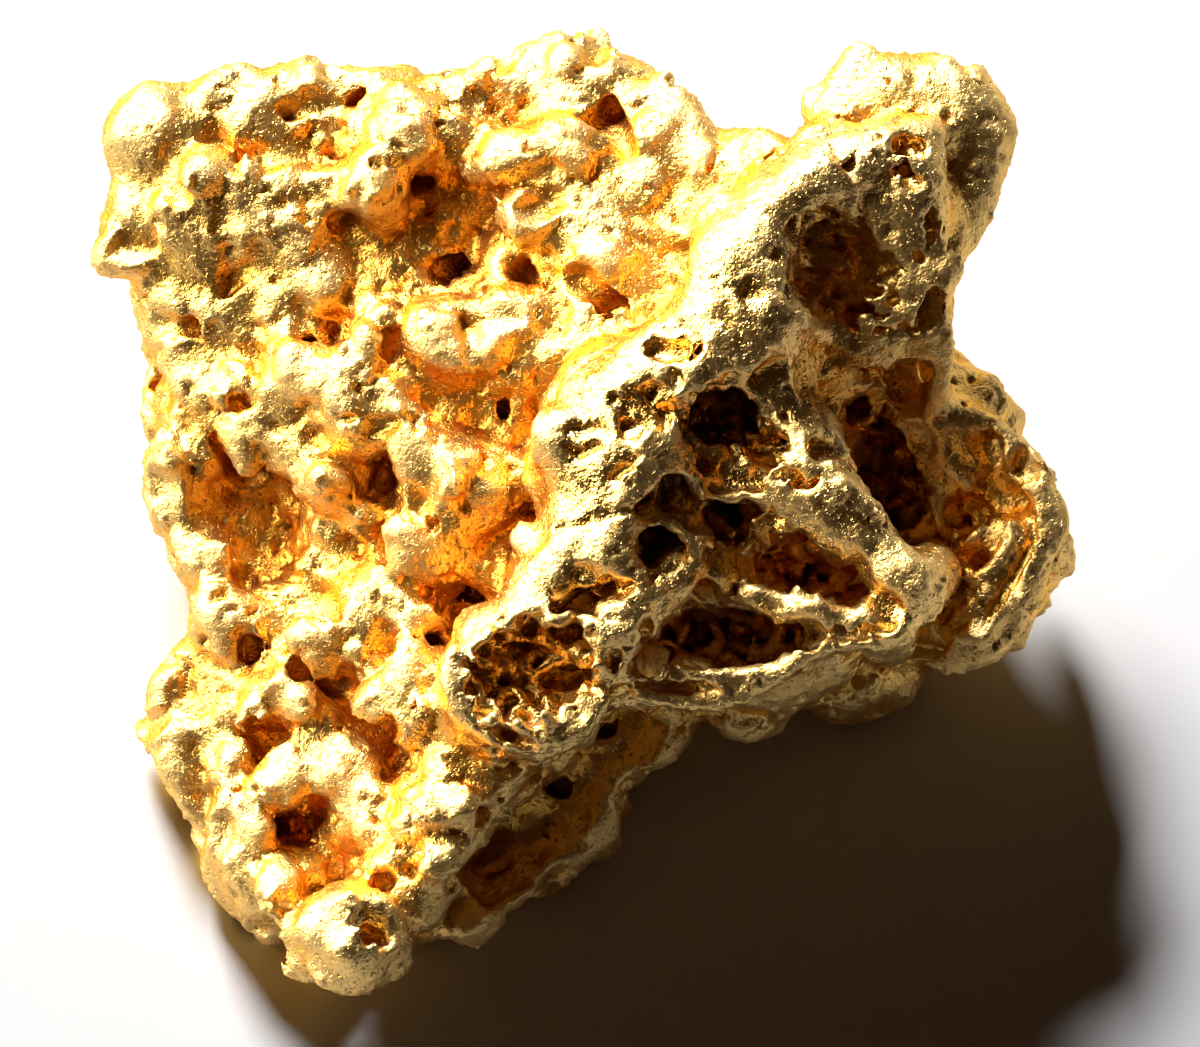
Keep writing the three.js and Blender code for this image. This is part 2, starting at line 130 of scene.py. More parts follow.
# Hollows that the photograph shows: middle pixel, half width and half height in pixels, turn in degrees,
# then depth in millimetres.
HOLLOWS = {
    "face trough": ((742, 452), 58, 46, -20, 0.28),
    "face pit": ((724, 416), 40, 32, 0, 0.75),
    "face pit shelf": ((742, 392), 24, 13, 5, 0.5),
    "upper crest pit": ((680, 492), 26, 27, -20, 0.60),
    "middle crest pit": ((668, 547), 31, 26, -25, 0.95),
    "lower crest pit": ((588, 606), 45, 20, 20, 0.70),
    "lower crest pit end": ((610, 612), 18, 16, 0, 0.60),
    "arm pit": ((733, 524), 23, 24, 25, 0.85),
    "arm pit end": ((752, 511), 12, 9, 20, 0.45),
    "small arm pit": ((715, 556), 11, 13, 0, 0.40),
    "arm web dent": ((772, 524), 24, 11, 32, 0.22),
    "arm root hole": ((806, 480), 14, 11, 0, 0.40),
    "bar root hole": ((728, 588), 13, 7, -5, 0.50),
    "arm tip hollow": ((924, 598), 19, 27, -15, 0.40),
    "arm strand hole": ((857, 592), 11, 7, -10, 0.35),
    "bar dent": ((772, 602), 14, 8, -20, 0.18),
    "lip slit": ((676, 689), 28, 6, -6, 0.35),
    "lip end pit": ((638, 666), 9, 13, -30, 0.30),
    "long snout pit": ((572, 632), 26, 10, 12, 0.40),
    "snout slit": ((590, 648), 13, 5, 12, 0.32),
    "snout side pit": ((521, 648), 13, 8, 10, 0.25),
    "snout middle pit": ((537, 664), 9, 8, 30, 0.28),
    "snout lower pit": ((566, 679), 27, 13, 8, 0.5),
    "snout foot dent": ((568, 708), 18, 10, 30, 0.15),
    "snout end slit": ((615, 665), 5, 14, -10, 0.25),
    "slit under the snout": ((512, 738), 28, 7, -25, 0.40),
    "granular hollow": ((640, 408), 40, 30, 0, 0.20),
    "granular hole": ((630, 426), 9, 6, 0, 0.16),
    "granular left hole": ((616, 398), 8, 7, 20, 0.14),
    "granular top hole": ((648, 390), 10, 7, -10, 0.15),
    "granular right hole": ((664, 414), 9, 8, 30, 0.16),
    "red hole": ((677, 378), 6, 9, 0, 0.28),
    "upper hollow": ((858, 248), 56, 80, -8, 0.20),
    "upper hollow side": ((814, 236), 15, 30, -12, 0.34),
    "upper hollow foot": ((858, 300), 52, 27, -6, 0.26),
    "upper hollow end": ((868, 314), 26, 12, 5, 0.25),
    "lobe top hollow": ((912, 144), 20, 14, 5, 0.40),
    "lobe side hole": ((916, 182), 10, 8, 0, 0.25),
    "lobe side slit": ((932, 226), 6, 19, 0, 0.35),
    "east upper hole": ((990, 442), 20, 14, -20, 0.40),
    "east pit": ((1026, 466), 17, 24, -15, 0.30),
    "east deep hole": ((972, 510), 24, 23, 0, 0.60),
    "east loop hole": ((984, 558), 10, 11, 0, 0.30),
    "east gap upper": ((912, 385), 32, 32, 0, 0.65),
    "east gap middle": ((882, 452), 34, 58, 15, 0.60),
    "east gap lower": ((913, 505), 27, 38, 0, 0.50),
    "toe side": ((388, 930), 40, 25, -15, 0.22),
    "toe hole": ((368, 938), 17, 11, 0, 0.35),
    "toe top hole": ((382, 886), 13, 11, 0, 0.35),
    "toe neck hole": ((408, 872), 8, 6, 0, 0.25),
    "neck pit": ((513, 768), 18, 10, 8, 0.30),
    "neck hole": ((494, 752), 7, 7, -30, 0.22),
    "neck side dent": ((455, 765), 22, 8, -25, 0.15),
}
# Deep openings, as above but with how near the middle is, in millimetres, after the depth.
CAVITIES = {
    "arm cavity": ((812, 574), 82, 27, -17, 1.7, -1.9),
    "arm cavity top": ((790, 556), 38, 26, 25, 1.5, -1.8),
    "lip cavity": ((724, 637), 100, 38, -2, 1.8, -2.3),
    "lip cavity top": ((690, 618), 44, 24, 28, 1.5, -2.0),
    "snout dish": ((533, 670), 72, 54, 18, 0.90, -0.42),
}
# Knobs that stand out: pixel and how near the middle is, then the radius in pixels.
KNOBS = {
    "toe": ((354, 940, -2.0), 56),
    "far corner": ((152, 132, -5.0), 54),
    "far side": ((146, 206, -5.1), 48),
    "dome": ((567, 440, -1.05), 39),
    "snout": ((525, 678, -1.75), 86),
    "flank knob": ((526, 539, -1.35), 17),
}
BARE_KNOB = 1.4  # no lumps sit within so many radii of a knob
PITS_FROM_KNOB = 0.25  # pits are full from so far outside a knob, in millimetres, and none are on it
# Bars across the openings: pixels along the line, each with how near it is, and the radius in pixels.
BARS = {
    "arm bar": (((722, 592, -1.7), (752, 597, -1.05), (790, 609, -0.85), (838, 621, -0.78),
                 (898, 630, -0.7)), 9),
    "lip upper rim": (((632, 676, -0.9), (664, 671, -0.95), (700, 677, -1.0), (740, 677, -1.05),
                       (776, 676, -1.05), (806, 656, -1.0), (834, 640, -0.9), (890, 640, -0.8)), 9),
    "snout end rim": (((455, 655, -0.66), (450, 680, -0.62), (460, 708, -0.62), (484, 730, -0.64),
                       (516, 742, -0.66), (550, 743, -0.68), (580, 730, -0.70), (600, 702, -0.72)), 11),
    "lip lower rim": (((640, 694, -1.0), (676, 701, -1.1), (712, 704, -1.15), (744, 694, -1.1)), 8),
}
# Beads and, where the height is below 0, grooves: pixels along the line, half width in pixels, height in mm.
STROKES = {
    "face pit rim": (((703, 385), (692, 398), (687, 415), (689, 433), (697, 446)), 4, 0.07),
    "pit web": (((697, 478), (703, 500), (704, 522), (700, 542), (697, 562)), 7, 0.08),
    "upper pit rim": (((652, 484), (662, 468), (682, 466), (697, 479)), 6, 0.06),
    "middle pit rim": (((648, 520), (666, 522), (684, 532), (697, 550)), 6, 0.05),
    "arm pit rim": (((712, 545), (708, 524), (718, 503), (742, 496), (766, 500)), 5, 0.06),
    "arm web edge": (((742, 550), (762, 545), (784, 536), (801, 522)), 5, 0.08),
    "crest lower edge": (((733, 562), (716, 582), (690, 598), (660, 612), (632, 628)), 14, 0.06),
    "crest lower fold": (((700, 568), (672, 588), (648, 602), (636, 616)), 7, 0.06),
    "snout upper web": (((545, 622), (570, 616), (592, 622), (612, 634), (630, 630)), 6, 0.08),
    "ledge groove": (((640, 724), (600, 772), (560, 816), (520, 852), (478, 888)), 34, -0.50),
    "coil": (((764, 342), (760, 326), (768, 313), (782, 319), (792, 332)), 4, 0.05),
    "lower coil": (((772, 366), (763, 353), (769, 341), (784, 346), (790, 358)), 4, 0.05),
    "face right strand": (((782, 366), (793, 396), (804, 436), (812, 468)), 9, 0.07),
    "thin right strand": (((806, 400), (820, 440), (836, 474), (850, 500)), 7, 0.06),
    "arm upper edge": (((838, 500), (852, 528), (876, 550), (906, 556)), 9, 0.05),
    "arm nub": (((846, 486), (862, 502), (878, 518)), 11, 0.16),
    "arm tip rim": (((906, 556), (938, 564), (957, 588), (946, 616), (920, 636), (896, 643)), 15, 0.06),
    "arm tip septum": (((911, 568), (903, 588), (897, 608), (895, 630)), 4, 0.08),
    "bar upper edge": (((744, 590), (770, 592), (806, 606), (850, 612), (888, 610)), 6, 0.06),
    "bar groove": (((812, 634), (850, 637), (892, 631)), 4, -0.15),
    "upper hollow rim": (((792, 250), (776, 272), (784, 298), (810, 324), (842, 344)), 11, 0.09),
    "east rim": (((985, 410), (1030, 422), (1056, 460), (1066, 510), (1058, 565), (1036, 610),
                  (1018, 655)), 13, 0.10),
    "east septum": (((936, 428), (944, 455), (960, 476), (985, 492)), 10, 0.15),
    "east lower septum": (((938, 498), (945, 530)), 9, 0.13),
    "east curl": (((992, 484), (1010, 498), (1017, 520), (1012, 545), (998, 566), (982, 580), (968, 572),
                   (962, 556), (968, 542), (980, 536)), 8, 0.15),
    "east foot rim": (((990, 588), (968, 612), (948, 632), (985, 640), (1015, 610)), 8, 0.10),
    "east groove": (((1030, 505), (1036, 540), (1016, 578), (992, 612)), 6, -0.14),
    "gap strand": (((950, 335), (949, 370), (936, 410)), 9, 0.10),
    "dome slit": (((567, 431), (580, 427), (602, 428)), 4, -0.10),
    "dome dent": (((565, 447), (578, 453), (596, 446)), 5, -0.12),
    "dome groove": (((612, 476), (624, 468), (634, 458)), 6, -0.14),
    "dome notch": (((552, 398), (546, 412)), 4, -0.06),
    "red slit": (((650, 347), (662, 350), (676, 349)), 5, -0.25),
    "crest crease": (((600, 520), (622, 512), (644, 508)), 5, -0.08),
    "flank crease": (((556, 528), (576, 526), (598, 520)), 4, -0.07),
}
# The same inside the hollows, at the level of their floors.
FLOOR_STROKES = {
    "first streak": (((836, 190), (842, 214), (833, 240), (838, 262)), 6, 0.06),
    "second streak": (((856, 184), (851, 214), (861, 240), (856, 272)), 7, 0.09),
    "third streak": (((880, 182), (873, 214), (885, 246), (878, 282)), 6, 0.07),
    "snout middle web": (((508, 666), (528, 660), (542, 648), (560, 648), (584, 656), (604, 652)), 5, 0.07),
    "snout thin web": (((516, 640), (536, 640), (548, 630)), 4, 0.06),
    "snout cross web": (((530, 690), (534, 674), (548, 664)), 4, 0.05),
    "hollow crack": (((822, 238), (842, 244), (864, 238)), 4, -0.12),
}
PIT_EDGE = 0.09  # how much the edge of a hollow is rounded
BAR_EDGE = 0.16  # how softly a bar meets what it crosses
BEAD_EDGE = 0.07  # how softly a bead or a groove meets the surface
STROKE_STEP = 0.1  # a line is laid on the surface at points this far apart

# The gold. Its colour goes from edges paled by a painted reflection to hollows darkened by painted shade, by
# places on a scale of how sheltered it is.
SHELTER_SCALE = (-0.12, 0.30)
# Pale edge colour is a painted reflection, and the dark hollow colour is painted shade.
EDGE_SHEEN_GOLD = (0.86, 0.59, 0.22, 1.0)
HOLLOW_SHADE_GOLD = (0.36, 0.15, 0.03, 1.0)
# The deep orange step of the ramp is painted shade in hollows as well.
BETWEEN_GOLD = {0.32: (0.95, 0.57, 0.14, 1.0), 0.65: (0.85, 0.42, 0.06, 1.0)}
CREST_HOLLOW_SHADE = {"colour": (0.30, 0.19, 0.07, 1.0), "sheltered": (0.0, 0.14), "most": 0.85}  # painted brown shade in the crest's hollows
SPECKS = {
    "colour": (0.16, 0.09, 0.03, 1.0), "spacing": 0.09, "detail": 2.0, "contrast": 0.5,
    "high": (0.60, 0.72), "most": 0.5, "depth": 0.02,
}
SHEEN_TINT = (1.0, 0.76, 0.42, 1.0)
PATCHES = {"spacing": 0.6, "detail": 3.0, "contrast": 0.5, "roughness": (0.18, 0.34)}
ROUGH_EDGES = {"sheltered": (-0.05, -0.16), "roughness": 0.16}
FROST_ROUGHNESS = 0.12
DENTS = {"spacing": 0.2, "detail": 2.0, "contrast": 0.5, "depth": 0.025}
FINE_GRAIN = {"spacing": 0.07, "detail": 2.0, "contrast": 0.6, "depth": 0.022}


def from_pixel(pixel):
    """Across and up, in millimetres, of a pixel of the photograph."""
    across = (pixel[0] - CREST_PIXEL[0]) / PIXELS_PER_MM
    up = (CREST_PIXEL[1] - pixel[1]) / PIXELS_PER_MM
    return across, up


def seen_point(x, y, near):
    """The point, in the part's frame, that is seen at a pixel and is so near."""
    across, up = from_pixel((x, y))
    return CREST_TOP + across * ACROSS + up * UP + near * NEAR


def smooth_step(value, low, high):
    """Goes smoothly from 0, at the low value and below, to 1, at the high one and above."""
    share = np.clip((value - low) / (high - low), 0.0, 1.0)
    return share * share * (3.0 - 2.0 * share)


def solid_mesh(node):
    """Corner points, in millimetres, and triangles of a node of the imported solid."""
    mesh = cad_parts[node].data
    mesh.calc_loop_triangles()
    points = np.empty(len(mesh.vertices) * 3, np.float32)
    mesh.vertices.foreach_get("co", points)
    triangles = np.empty(len(mesh.loop_triangles) * 3, np.int32)
    mesh.loop_triangles.foreach_get("vertices", triangles)
    return points.reshape(-1, 3) / np.float32(MM), triangles.reshape(-1, 3).astype(np.uint32)


class Field:
    """Distances to the surface on a grid of points, negative inside."""

    def __init__(self, points, triangles):
        self.shape = tuple(int(round(count)) for count in FIELD_SIZE / VOXEL)
        scale = openvdb.createLinearTransform(voxelSize=VOXEL)
        grid = openvdb.FloatGrid.createLevelSetFromPolygons(
            np.ascontiguousarray(points - FIELD_LOW, np.float32),
            triangles=triangles, transform=scale, halfWidth=BAND / VOXEL)
        self.value = np.empty(self.shape, np.float32)
        grid.copyToArray(self.value, ijk=(0, 0, 0))

    def axis(self, number):
        """Positions of the grid points along one axis of the part's frame."""
        return FIELD_LOW[number] + VOXEL * np.arange(self.shape[number], dtype=np.float32)

    def seen(self, direction):
        """How far each grid point lies along a direction of the photograph's view."""
        x, y, z = (self.axis(i) - CREST_TOP[i] for i in range(3))
        return (direction[0] * x[:, None, None] + direction[1] * y[None, :, None]
                + direction[2] * z[None, None, :]).astype(np.float32)

    def pitches(self):
        """Waves per millimetre of each part of the field's Fourier transform."""
        x, y = (np.fft.fftfreq(n, VOXEL) for n in self.shape[:2])
        z = np.fft.rfftfreq(self.shape[2], VOXEL)
        return np.sqrt(x[:, None, None] ** 2 + y[None, :, None] ** 2 + z[None, None, :] ** 2)

    def blurred(self, reach):
        """The field with everything smaller than the reach smoothed away."""
        waves = np.fft.rfftn(self.value) * np.exp(-0.5 * (2.0 * math.pi * reach * self.pitches()) ** 2)
        return np.fft.irfftn(waves, self.shape).astype(np.float32)

    def noise(self, spacing, seed):
        """Smooth random swells of one spacing, with a middle of 0 and a spread of 1."""
        random = np.random.default_rng(SEED + seed)
        most = np.ceil(FINEST_WAVES * FIELD_SIZE / spacing).astype(int)
        counts = [np.concatenate([np.arange(0, m), np.arange(-m, 0)]) for m in most[:2]]
        counts.append(np.arange(most[2]))
        x, y, z = np.meshgrid(*counts, indexing="ij")
        turns = random.random(x.shape)
        pitch = np.sqrt((x / FIELD_SIZE[0]) ** 2 + (y / FIELD_SIZE[1]) ** 2 + (z / FIELD_SIZE[2]) ** 2)
        heights = np.exp(-0.5 * ((pitch * spacing - 1.0) / NOISE_SPREAD) ** 2)
        limit = [count // 2 for count in self.shape]
        fits = (np.abs(x) < limit[0]) & (np.abs(y) < limit[1]) & (z < limit[2])
        waves = np.zeros((self.shape[0], self.shape[1], limit[2] + 1), complex)
        waves[x[fits], y[fits], z[fits]] = (heights * np.exp(2j * math.pi * turns))[fits]
        swell = np.fft.irfftn(waves, self.shape).astype(np.float32)
        return swell / swell.std()

    def sample(self, points):
        """Values at free points, from the eight grid points around each."""
        place = np.clip((points - FIELD_LOW) / VOXEL, 0, np.array(self.shape) - LAST_CELL)
        cell = place.astype(int)
        share = place - cell
        total = np.zeros(len(points))
        for corner in np.ndindex(2, 2, 2):
            weight = np.prod(np.where(corner, share, 1.0 - share), axis=1)
            i, j, k = (cell + corner).T
            total += weight * self.value[i, j, k]
        return total

    def outwards(self, points):
        """The way out from the surface at free points."""
        way = np.empty(points.shape)
        for i in range(3):
            shift = np.zeros(3)
            shift[i] = SLOPE_STEP * VOXEL
            way[:, i] = self.sample(points + shift) - self.sample(points - shift)
        return way / np.linalg.norm(way, axis=1, keepdims=True)

    def mesh(self):
        """Points, in millimetres, and faces of four corners of the surface."""
        grid = openvdb.FloatGrid(BAND)
        grid.transform = openvdb.createLinearTransform(voxelSize=VOXEL)
        grid.copyFromArray(self.value)
        points, quads = grid.convertToQuads(0.0)
        return points + FIELD_LOW, quads


def round_over(field):
    """Rounds the solid's facets, and more so far below the crest, where lumps are worn smooth."""
    crest, low = (field.blurred(reach) for reach in ROUNDING)
    share = smooth_step(-field.seen(NEAR), *ROUNDED_DEPTH)
    field.value = crest + share * (low - crest)


def right_of_shoulder(across, up):
    """How far places in the picture lie right of the shoulder line, in millimetres."""
    line = np.array([from_pixel(pixel) for pixel in SHOULDER_LINE])[::-1]
    return across - np.interp(up, line[:, 1], line[:, 0])


def scatter_lumps(points, triangles):
    """Lumps at random places on the solid: middle, radius, the way each is drawn out, and how much."""
    random = np.random.default_rng(SEED + LUMPS["seed"])
    count = LUMPS["count"]
    corners = points[triangles.astype(int)]
    across = np.cross(corners[:, 1] - corners[:, 0], corners[:, 2] - corners[:, 0])
    areas = np.linalg.norm(across, axis=1)
    chosen = random.choice(len(areas), count, p=areas / areas.sum())
    shares = random.dirichlet((1.0, 1.0, 1.0), count)
    places = np.einsum("ij,ijk->ik", shares, corners[chosen])
    outwards = across[chosen] / areas[chosen, None]
    radii = random.uniform(*LUMPS["radius"], count)
    heights = radii * random.uniform(*LUMPS["share"], count)
    ways = np.cross(outwards, random.normal(size=(count, 3)))
    ways /= np.linalg.norm(ways, axis=1, keepdims=True)
    stretches = random.uniform(*LUMPS["stretch"], count)
    seen = (places - CREST_TOP) @ np.array([ACROSS, UP, NEAR]).T
    right = right_of_shoulder(seen[:, 0], seen[:, 1]) > 0.0
    on_crest = seen[:, 2] > -np.where(right, WORN_DEPTH[1], WORN_DEPTH[0])
    kept = ~on_crest | (random.random(count) < LUMPS_LEFT_ON_CREST)
    for place, radius in KNOBS.values():
        kept &= np.linalg.norm(places - seen_point(*place), axis=1) > BARE_KNOB * radius / PIXELS_PER_MM
    middles = places - outwards * (radii - heights)[:, None]
    return middles[kept], radii[kept], ways[kept], stretches[kept]


def add_lumps(field, wobble, solid):
    """Natural lumps, each blended into what is there."""
    for middle, radius, way, stretch in zip(*scatter_lumps(*solid)):
        window, ball = ball_distance(field, wobble, middle, radius, way, stretch)
        field.value[window] = -smooth_max(-field.value[window], -ball, LUMPS["edge"])


def add_knobs(field, wobble):
    """The knobs that the photograph shows."""
    for place, radius in KNOBS.values():
        window, ball = ball_distance(field, wobble, seen_point(*place), radius / PIXELS_PER_MM)
        field.value[window] = -smooth_max(-field.value[window], -ball, LUMPS["edge"])


def ball_distance(field, wobble, middle, radius, way=ACROSS, stretch=1.0):
    """Distances to an uneven ball that is drawn out one way, in a window around it."""
    reach = radius * stretch + SHAPE_MARGIN
    window, (x, y, z) = window_around(field, middle - reach, middle + reach)
    gap = (x - middle[0], y - middle[1], z - middle[2])
    along = way[0] * gap[0] + way[1] * gap[1] + way[2] * gap[2]
    squared = gap[0] ** 2 + gap[1] ** 2 + gap[2] ** 2 - along ** 2 * (1.0 - stretch ** -2)
    return window, np.sqrt(np.maximum(squared, 0.0)) * wobble[window] - radius


def add_pits(field, wobble):
    """Uneven pits and pockets all over, but few on the worn dome and none on the knobs."""
    near = field.seen(NEAR)
    left = right_of_shoulder(field.seen(ACROSS), field.seen(UP)) < 0.0
    dome = left & (near > -WORN_DEPTH[0])
    share = np.where(dome, PITS_LEFT_ON_DOME, 1.0)
    for place, radius in KNOBS.values():
        window, ball = ball_distance(field, wobble, seen_point(*place), radius / PIXELS_PER_MM)
        share[window] *= smooth_step(ball, 0.0, PITS_FROM_KNOB)
    for kind in PITS.values():
        swell = field.noise(kind["spacing"], kind["seed"])
        field.value += share * kind["depth"] * smooth_step(swell, *kind["high"])


def add_texture(field):
    """Fine folds with creases between them, and grain."""
    folds = np.abs(field.noise(FOLDS["spacing"], FOLDS["seed"])) - FOLDS["middle"]
    field.value -= FOLDS["height"] * folds
    field.value -= GRAIN["height"] * field.noise(GRAIN["spacing"], GRAIN["seed"])


def surface_point(field, across, up):
    """The point of the surface that is seen at a place in the picture."""
    steps = np.arange(*SEARCH, -0.5 * VOXEL)
    line = CREST_TOP + across * ACROSS + up * UP + steps[:, None] * NEAR
    inside = field.sample(line) < 0.0
    return line[int(np.argmax(inside))]


def window_around(field, low, high):
    """The part of the grid between two corners, and its points' positions along each axis."""
    window = []
    positions = []
    for i in range(3):
        points = field.axis(i)
        first, last = np.searchsorted(points, (low[i], high[i]))
        window.append(slice(first, last))
        positions.append(points[first:last])
    return tuple(window), np.meshgrid(*positions, indexing="ij")


def round_shoulder(field):
    """Takes the crest's left shoulder down to a rounded roof that falls away from the line."""
    line = np.array([from_pixel(pixel) for pixel in SHOULDER_LINE])[::-1]
    x = field.axis(0) - CREST_TOP[0]
    reach = SHOULDER_REACH / PIXELS_PER_MM
    up = field.seen(UP)[0]
    near = field.seen(NEAR)[0]
    edge = np.interp(up, line[:, 1], line[:, 0])
    lean = np.gradient(line[:, 0], line[:, 1])
    steep = np.interp(up, line[:, 1], lean)
    for i, across in enumerate(x):
        left = np.maximum(edge - across, 0.0) / np.sqrt(1.0 + steep ** 2)
        drop = np.minimum(SHOULDER_DROP * (left / reach) ** 2, SHOULDER_MOST)
        roof = (near - SHOULDER_TOP + drop) / np.sqrt(1.0 + (2.0 * SHOULDER_DROP * left / reach ** 2) ** 2)
        cut = smooth_max(field.value[i], roof, 2.0 * PIT_EDGE)
        field.value[i] = np.where((left > 0.0) & (drop < SHOULDER_MOST), cut, field.value[i])


def cut_hollows(field, wobble):
    """The hollows that the photograph shows, each set on the surface under its pixel."""
    for (pixel, half_width, half_height, turn, depth) in HOLLOWS.values():
        middle = surface_point(field, *from_pixel(pixel))
        half = np.array([half_width, half_height]) / PIXELS_PER_MM
        cut_hollow(field, wobble, middle, half, math.radians(turn), depth)


def cut_cavities(field, wobble):
    """The deep openings, each at its own distance from the viewer."""
    for (pixel, half_width, half_height, turn, depth, near) in CAVITIES.values():
        half = np.array([half_width, half_height]) / PIXELS_PER_MM
        cut_hollow(field, wobble, seen_point(*pixel, near), half, math.radians(turn), depth)


def add_bars(field, wobble):
    """The bars and rims that cross or frame the openings."""
    for line, radius in BARS.values():
        centres = np.array([seen_point(*corner) for corner in line])
        thickness = radius / PIXELS_PER_MM
        reach = thickness + SHAPE_MARGIN
        window, grid_points = window_around(field, centres.min(axis=0) - reach, centres.max(axis=0) + reach)
        tube = tube_distance(np.stack(grid_points, axis=-1), centres) * wobble[window] - thickness
        field.value[window] = -smooth_max(-field.value[window], -tube, BAR_EDGE)


def cut_hollow(field, wobble, middle, half, turn, depth):
    """Cuts an uneven oval hollow that faces the viewer."""
    reach = RAGGED_REACH * max(half.max(), depth) + PIT_EDGE
    window, (x, y, z) = window_around(field, middle - reach, middle + reach)
    right = x - middle[0]
    above = UP[1] * (y - middle[1]) + UP[2] * (z - middle[2])
    towards = NEAR[1] * (y - middle[1]) + NEAR[2] * (z - middle[2])
    along = (right * math.cos(turn) + above * math.sin(turn)) / half[0]
    aside = (above * math.cos(turn) - right * math.sin(turn)) / half[1]
    ratio = np.sqrt(along ** 2 + aside ** 2 + (towards / depth) ** 2) * wobble[window]
    slope = np.sqrt((along / half[0]) ** 2 + (aside / half[1]) ** 2 + (towards / depth ** 2) ** 2)
    outside = -ratio * (ratio - 1.0) / np.maximum(slope, TINY)
    field.value[window] = smooth_max(field.value[window], outside, PIT_EDGE)


def smooth_max(first, second, edge):
    """The larger of two fields, rounded where they are about the same."""
    overlap = np.maximum(edge - np.abs(first - second), 0.0)
    return np.maximum(first, second) + overlap ** 2 / (4.0 * edge)


def stroke_lines(field, strokes):
    """Each stroke's line on the surface and the way out from the surface at each of its points."""
    lines = {}
    for name, (pixels, _, _) in strokes.items():
        corners = np.array([from_pixel(pixel) for pixel in pixels])
        lengths = np.concatenate([[0.0], np.cumsum(np.hypot(*np.diff(corners, axis=0).T))])
        marks = np.linspace(0.0, lengths[-1], int(lengths[-1] / STROKE_STEP) + 2)
        across = np.interp(marks, lengths, corners[:, 0])
        up = np.interp(marks, lengths, corners[:, 1])
        points = np.array([surface_point(field, a, u) for a, u in zip(across, up)])
        lines[name] = points, field.outwards(points)
    return lines


def draw_strokes(field, strokes, lines, wobble):
    """Adds a bead, or cuts a groove, along each stroke's line."""
    for name, (_, half_width, height) in strokes.items():
        points, outwards = lines[name]
        half = half_width / PIXELS_PER_MM
        radius = (half ** 2 + height ** 2) / (2.0 * abs(height))
        centres = points - outwards * (radius - abs(height)) * math.copysign(1.0, height)
        reach = radius + 2.0 * BEAD_EDGE
        window, grid_points = window_around(field, centres.min(axis=0) - reach, centres.max(axis=0) + reach)
        tube = tube_distance(np.stack(grid_points, axis=-1), centres) * wobble[window] - radius
        old = field.value[window]
        if height > 0.0:
            field.value[window] = -smooth_max(-old, -tube, BEAD_EDGE)
        else:
            field.value[window] = smooth_max(old, -tube, BEAD_EDGE)


def tube_distance(points, centres):
    """Distances from points to a line through the centres."""
    nearest = np.full(points.shape[:-1], np.inf)
    for start, end in zip(centres[:-1], centres[1:]):
        stretch = end - start
        share = np.clip((points - start) @ stretch / max(stretch @ stretch, TINY), 0.0, 1.0)
        gap = points - start - share[..., None] * stretch
        nearest = np.minimum(nearest, np.einsum("...i,...i", gap, gap))
    return np.sqrt(nearest)


def one_shell(points, quads):
    """The largest connected surface: loose specks and closed bubbles are dropped."""
    leader = np.arange(len(points))
    edges = np.concatenate([quads[:, [0, 1]], quads[:, [1, 2]], quads[:, [2, 3]], quads[:, [3, 0]]])
    while True:
        smaller = leader[edges].min(axis=1)
        before = leader.copy()
        np.minimum.at(leader, edges[:, 0], smaller)
        np.minimum.at(leader, edges[:, 1], smaller)
        leader = leader[leader]
        if np.array_equal(leader, before):
            break
    shells, sizes = np.unique(leader, return_counts=True)
    kept = leader == shells[sizes.argmax()]
    number = np.cumsum(kept) - 1
    return points[kept], number[quads[kept[quads[:, 0]]]]


def fine_mesh(field):
    """The field's surface as a mesh of at most MOST_TRIANGLES."""
    points, quads = one_shell(*field.mesh())
    mesh = bpy.data.meshes.new("nugget_fine")
    mesh.from_pydata((points * MM).tolist(), [], quads[:, ::-1].tolist())
    piece = bpy.data.objects.new("nugget_fine", mesh)
    bpy.context.scene.collection.objects.link(piece)
    thin = piece.modifiers.new("thin", "DECIMATE")
    thin.ratio = min(1.0, MOST_TRIANGLES / (2.0 * len(quads)))
    evaluated = piece.evaluated_get(bpy.context.evaluated_depsgraph_get())
    final = bpy.data.meshes.new_from_object(evaluated)
    piece.modifiers.clear()
    piece.data = final
    final.shade_smooth()
    return piece


def sculpt(field, wobble, ragged):
    """Openings and hollows, then beads and grooves at the level that the surface had before them."""
    round_shoulder(field)
    add_knobs(field, wobble)
    cut_cavities(field, ragged)
    add_bars(field, wobble)
    lines = stroke_lines(field, STROKES)
    cut_hollows(field, ragged)
    draw_strokes(field, STROKES, lines, wobble)
    draw_strokes(field, FLOOR_STROKES, stroke_lines(field, FLOOR_STROKES), wobble)


def mark_surface(piece, field):
    """Gives each corner how sheltered it is, below 0 on edges and above 0 in hollows, with painted shade
    added on low walls that face one way, and how frosted.
    """
    mesh = piece.data
    points = np.empty(len(mesh.vertices) * 3, np.float32)
    mesh.vertices.foreach_get("co", points)
    points = points.reshape(-1, 3) / MM
    valleys = np.minimum(field.blurred(VALLEY_REACH), 0.0)
    field.value = field.blurred(SHELTER_REACH) + VALLEY_SHARE * valleys
    outwards = np.empty(len(mesh.vertices) * 3, np.float32)
    mesh.vertex_normals.foreach_get("vector", outwards)
    frosted = smooth_step(-(points - CREST_TOP) @ NEAR, *FROSTED_DEPTH)
    # Painted shade on low walls that face one way, added to how sheltered they are.
    shaded_wall = frosted * smooth_step(outwards.reshape(-1, 3) @ SHADED_WALL_WAY, *SHADED_WALL_TURN)
    marks = {"sheltered": WALL_SHADE * shaded_wall - field.sample(points), "frosted": frosted}
    for name, values in marks.items():
        layer = mesh.attributes.new(name, "FLOAT", "POINT")
        layer.data.foreach_set("value", values.astype(np.float32))


